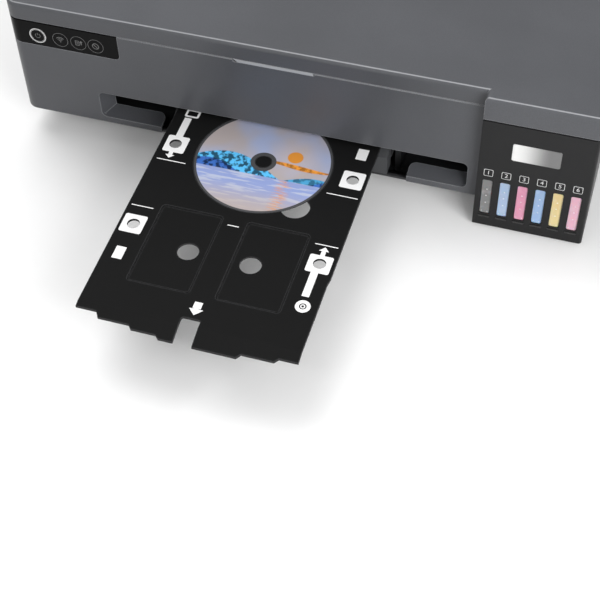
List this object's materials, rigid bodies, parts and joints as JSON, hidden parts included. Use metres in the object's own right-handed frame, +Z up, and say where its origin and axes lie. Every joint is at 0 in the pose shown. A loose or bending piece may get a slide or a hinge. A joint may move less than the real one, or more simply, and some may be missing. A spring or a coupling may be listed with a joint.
{
  "type": "inkjet photo printer",
  "caption": "Wide inkjet photo printer with windowed ink tanks at the right front, a hinged lid, a rear sheet feeder and a sliding tray for discs and cards.",
  "frame": {"origin": "on the table, in the middle of the box around the whole printer with its disc tray out", "axes": "+X to the right seen from the front, +Y to the back, +Z up"},
  "size_m": [0.523, 0.613, 0.148],
  "materials": {
    "casing_grey": "fine grain",
    "base_dark": "fine grain",
    "tank_black": "satin",
    "panel_black": "gloss",
    "button_black": "satin",
    "grip_grey": "satin",
    "tray_black": "fine grain",
    "disc_print": "printed, satin",
    "output_grey": "fine grain",
    "inner_black": "moulded",
    "zinc_steel": "zinc plated",
    "ground_steel": "ground",
    "rubber": "matte",
    "gear_white": "moulded",
    "roller_grey": "ground rubber",
    "board_green": "solder mask",
    "screw_black": "black oxide",
    "ink_tube": "translucent",
    "cap_rubber": "matte",
    "head_metal": "satin",
    "ink_grey": "translucent",
    "ink_light_cyan": "translucent",
    "ink_magenta": "translucent",
    "ink_cyan": "translucent",
    "ink_yellow": "translucent",
    "ink_light_magenta": "translucent"
  },
  "bodies": {
    "housing": {"base_case": "base_dark", "rubber_feet": "rubber", "front_cover": "casing_grey", "left_cover": "casing_grey", "right_cover": "casing_grey", "rear_cover": "casing_grey", "top_frame": "casing_grey", "tank_cover": "tank_black", "control_panel": "panel_black", "metal_frame": "zinc_steel", "carriage_shaft": "ground_steel", "timing_belt": "rubber", "carriage_motor": "zinc_steel", "feed_motor": "zinc_steel", "platen": "inner_black", "star_wheel_holder": "inner_black", "feeder_frame": "inner_black", "capping_station": "inner_black", "power_supply": "inner_black", "main_board": "board_green", "ink_tubes": "ink_tube", "case_screws": "screw_black", "ink_tank_grey": "ink_grey", "ink_tank_light_cyan": "ink_light_cyan", "ink_tank_magenta": "ink_magenta", "ink_tank_cyan": "ink_cyan", "ink_tank_yellow": "ink_yellow", "ink_tank_light_magenta": "ink_light_magenta"},
    "lid": {"lid": "casing_grey", "lid_grip": "grip_grey"},
    "power_button": {"power_button": "button_black"},
    "network_button": {"network_button": "button_black"},
    "sheet_button": {"sheet_button": "button_black"},
    "cancel_button": {"cancel_button": "button_black"},
    "disc_tray": {"disc_tray": "tray_black", "disc": "disc_print"},
    "output_tray_rear": {"output_tray_rear": "output_grey"},
    "output_tray_middle": {"output_tray_middle": "output_grey"},
    "output_tray_front": {"output_tray_front": "output_grey"},
    "paper_support": {"paper_support": "output_grey"},
    "paper_support_extension": {"paper_support_extension": "output_grey"},
    "feeder_guard": {"feeder_guard": "casing_grey"},
    "left_edge_guide": {"left_edge_guide": "output_grey"},
    "right_edge_guide": {"right_edge_guide": "output_grey"},
    "carriage": {"carriage": "inner_black", "print_head": "head_metal"},
    "motor_pulley": {"motor_pulley": "gear_white"},
    "idler_pulley": {"idler_pulley": "gear_white"},
    "feed_roller": {"feed_roller": "ground_steel"},
    "exit_roller": {"exit_roller": "roller_grey"},
    "idler_gear": {"idler_gear": "gear_white"},
    "motor_pinion": {"motor_pinion": "gear_white"},
    "pinch_rollers": {"pinch_rollers": "roller_grey"},
    "pickup_roller": {"pickup_roller": "roller_grey"},
    "filler_cap_grey": {"filler_cap_grey": "cap_rubber"},
    "filler_cap_light_cyan": {"filler_cap_light_cyan": "cap_rubber"},
    "filler_cap_magenta": {"filler_cap_magenta": "cap_rubber"},
    "filler_cap_cyan": {"filler_cap_cyan": "cap_rubber"},
    "filler_cap_yellow": {"filler_cap_yellow": "cap_rubber"},
    "filler_cap_light_magenta": {"filler_cap_light_magenta": "cap_rubber"}
  },
  "joints": [
    {"name": "lid_hinge", "type": "hinge", "parent": "housing", "child": "lid", "pos_m": [0, 0.17845, 0.142], "axis": [-1, 0, 0], "range_deg": [0, 65]},
    {"name": "power_button_press", "type": "slide", "parent": "housing", "child": "power_button", "axis": [0, 1, 0], "range_m": [0, 0.0008], "stiffness_N_per_m": 1500, "springref_m": -0.0005},
    {"name": "network_button_press", "type": "slide", "parent": "housing", "child": "network_button", "axis": [0, 1, 0], "range_m": [0, 0.0008], "stiffness_N_per_m": 1500, "springref_m": -0.0005},
    {"name": "sheet_button_press", "type": "slide", "parent": "housing", "child": "sheet_button", "axis": [0, 1, 0], "range_m": [0, 0.0008], "stiffness_N_per_m": 1500, "springref_m": -0.0005},
    {"name": "cancel_button_press", "type": "slide", "parent": "housing", "child": "cancel_button", "axis": [0, 1, 0], "range_m": [0, 0.0008], "stiffness_N_per_m": 1500, "springref_m": -0.0005},
    {"name": "disc_tray_slide", "type": "slide", "parent": "housing", "child": "disc_tray", "axis": [0, 1, 0], "range_m": [0, 0.24]},
    {"name": "output_rear_slide", "type": "slide", "parent": "housing", "child": "output_tray_rear", "axis": [0, -1, 0], "range_m": [0, 0.1]},
    {"name": "output_middle_slide", "type": "slide", "parent": "output_tray_rear", "child": "output_tray_middle", "axis": [0, -1, 0], "range_m": [0, 0.1]},
    {"name": "output_front_slide", "type": "slide", "parent": "output_tray_middle", "child": "output_tray_front", "axis": [0, -1, 0], "range_m": [0, 0.1]},
    {"name": "support_slide", "type": "slide", "parent": "housing", "child": "paper_support", "axis": [0, 0.5299, 0.848], "range_m": [0, 0.062]},
    {"name": "extension_slide", "type": "slide", "parent": "paper_support", "child": "paper_support_extension", "axis": [0, 0.5299, 0.848], "range_m": [0, 0.06]},
    {"name": "guard_hinge", "type": "hinge", "parent": "housing", "child": "feeder_guard", "pos_m": [-0.014, 0.19545, 0.1435], "axis": [1, 0, 0], "range_deg": [0, 90]},
    {"name": "left_guide_slide", "type": "slide", "parent": "housing", "child": "left_edge_guide", "axis": [1, 0, 0], "range_m": [0, 0.12]},
    {"name": "right_guide_slide", "type": "slide", "parent": "housing", "child": "right_edge_guide", "axis": [-1, 0, 0], "range_m": [0, 0.12]},
    {"name": "carriage_slide", "type": "slide", "parent": "housing", "child": "carriage", "axis": [-1, 0, 0], "range_m": [0, 0.396]},
    {"name": "motor_pulley_spin", "type": "hinge", "parent": "housing", "child": "motor_pulley", "pos_m": [0.236, 0.13795, 0.102], "axis": [0, 1, 0], "continuous": true},
    {"name": "idler_pulley_spin", "type": "hinge", "parent": "housing", "child": "idler_pulley", "pos_m": [-0.236, 0.13795, 0.102], "axis": [0, 1, 0], "continuous": true},
    {"name": "feed_roller_spin", "type": "hinge", "parent": "housing", "child": "feed_roller", "pos_m": [0, 0.11445, 0.0481], "axis": [1, 0, 0], "continuous": true},
    {"name": "exit_roller_spin", "type": "hinge", "parent": "housing", "child": "exit_roller", "pos_m": [0, 0.02745, 0.0486], "axis": [1, 0, 0], "continuous": true},
    {"name": "idler_gear_spin", "type": "hinge", "parent": "housing", "child": "idler_gear", "pos_m": [0, 0.07036, 0.05712], "axis": [1, 0, 0], "continuous": true},
    {"name": "motor_pinion_spin", "type": "hinge", "parent": "housing", "child": "motor_pinion", "pos_m": [0, 0.14153, 0.05287], "axis": [1, 0, 0], "continuous": true},
    {"name": "pinch_rollers_spin", "type": "hinge", "parent": "housing", "child": "pinch_rollers", "pos_m": [0, 0.11445, 0.0625], "axis": [1, 0, 0], "continuous": true},
    {"name": "pickup_roller_spin", "type": "hinge", "parent": "housing", "child": "pickup_roller", "pos_m": [-0.014, 0.20822, 0.0916], "axis": [1, 0, 0], "continuous": true},
    {"name": "filler_cap_grey_hinge", "type": "hinge", "parent": "housing", "child": "filler_cap_grey", "pos_m": [0.175, -0.03455, 0.1147], "axis": [-1, 0, 0], "range_deg": [0, 85]},
    {"name": "filler_cap_light_cyan_hinge", "type": "hinge", "parent": "housing", "child": "filler_cap_light_cyan", "pos_m": [0.1901, -0.03455, 0.1147], "axis": [-1, 0, 0], "range_deg": [0, 85]},
    {"name": "filler_cap_magenta_hinge", "type": "hinge", "parent": "housing", "child": "filler_cap_magenta", "pos_m": [0.2052, -0.03455, 0.1147], "axis": [-1, 0, 0], "range_deg": [0, 85]},
    {"name": "filler_cap_cyan_hinge", "type": "hinge", "parent": "housing", "child": "filler_cap_cyan", "pos_m": [0.2203, -0.03455, 0.1147], "axis": [-1, 0, 0], "range_deg": [0, 85]},
    {"name": "filler_cap_yellow_hinge", "type": "hinge", "parent": "housing", "child": "filler_cap_yellow", "pos_m": [0.2354, -0.03455, 0.1147], "axis": [-1, 0, 0], "range_deg": [0, 85]},
    {"name": "filler_cap_light_magenta_hinge", "type": "hinge", "parent": "housing", "child": "filler_cap_light_magenta", "pos_m": [0.2505, -0.03455, 0.1147], "axis": [-1, 0, 0], "range_deg": [0, 85]}
  ],
  "couplings": [
    {"joint": "right_guide_slide", "follows": "left_guide_slide", "ratio": 1},
    {"joint": "motor_pulley_spin", "follows": "carriage_slide", "rad_per_m": 150.38},
    {"joint": "idler_pulley_spin", "follows": "carriage_slide", "rad_per_m": 150.38},
    {"joint": "exit_roller_spin", "follows": "feed_roller_spin", "ratio": 1.0769},
    {"joint": "idler_gear_spin", "follows": "feed_roller_spin", "ratio": -0.63636},
    {"joint": "motor_pinion_spin", "follows": "feed_roller_spin", "ratio": -1.75}
  ]
}
